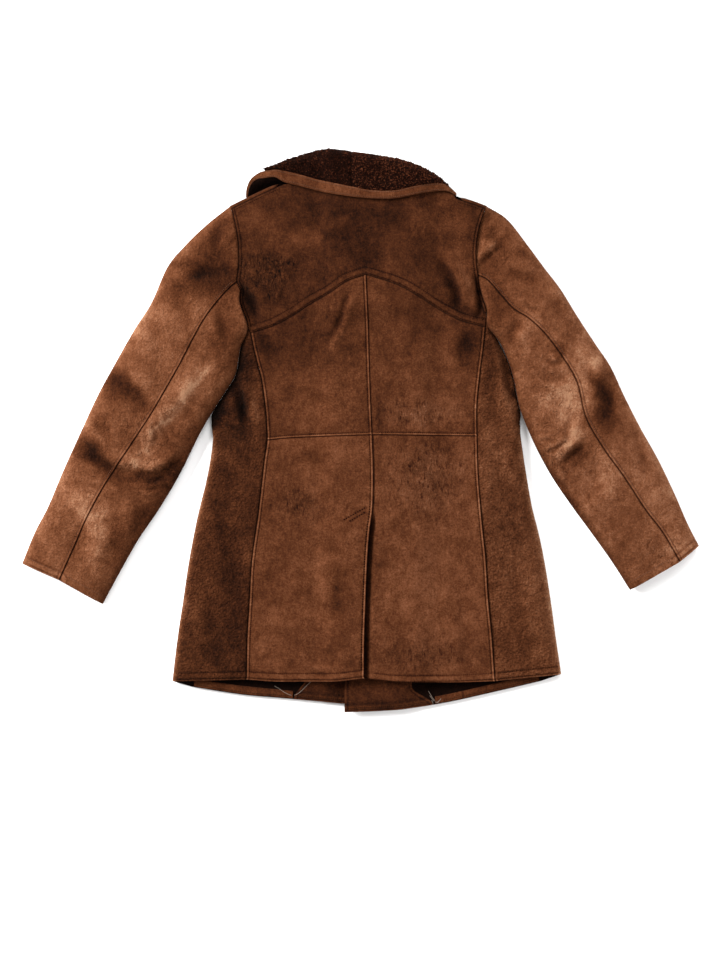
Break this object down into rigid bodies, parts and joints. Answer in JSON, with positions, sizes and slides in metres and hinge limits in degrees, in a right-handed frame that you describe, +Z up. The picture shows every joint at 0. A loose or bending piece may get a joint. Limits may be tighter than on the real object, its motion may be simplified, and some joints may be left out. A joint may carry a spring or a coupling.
{
  "type": "shearling coat",
  "caption": "Hip-length brown shearling coat laid flat on its front, with a pointed back yoke, princess seams, a centre vent and a wool collar bound in suede.",
  "frame": {"origin": "on the floor, under the middle of the coat's bounding box", "axes": "+X across the coat toward the wearer's right sleeve, +Y from the hem to the collar, +Z up from the floor through the back"},
  "size_m": [1.056, 0.8776, 0.0444],
  "materials": {
    "suede_back": "brown suede, matt with a soft nap",
    "suede_side": "darker brown suede with pebble grain",
    "suede_sleeve": "lighter, worn brown suede",
    "suede_front": "brown suede, matt with a soft nap",
    "suede_trim": "smooth brown suede strips",
    "wool": "clipped dark brown wool"
  },
  "bodies": {
    "root": {"back_yoke": "suede_back", "back_upper_left": "suede_back", "back_upper_right": "suede_back", "back_lower_left": "suede_back", "back_lower_right": "suede_back", "side_left": "suede_side", "side_right": "suede_side", "sleeve_left_top": "suede_sleeve", "sleeve_left_under": "suede_sleeve", "sleeve_right_top": "suede_sleeve", "sleeve_right_under": "suede_sleeve", "front_left": "suede_front", "front_right": "suede_front", "facing_left": "suede_trim", "facing_right": "suede_trim", "hem_band_left": "suede_trim", "hem_band_right": "suede_trim", "collar_binding": "suede_trim", "collar_fall_left": "wool", "collar_fall_right": "wool", "collar_leaf_left": "wool", "collar_leaf_right": "wool"}
  },
  "joints": []
}
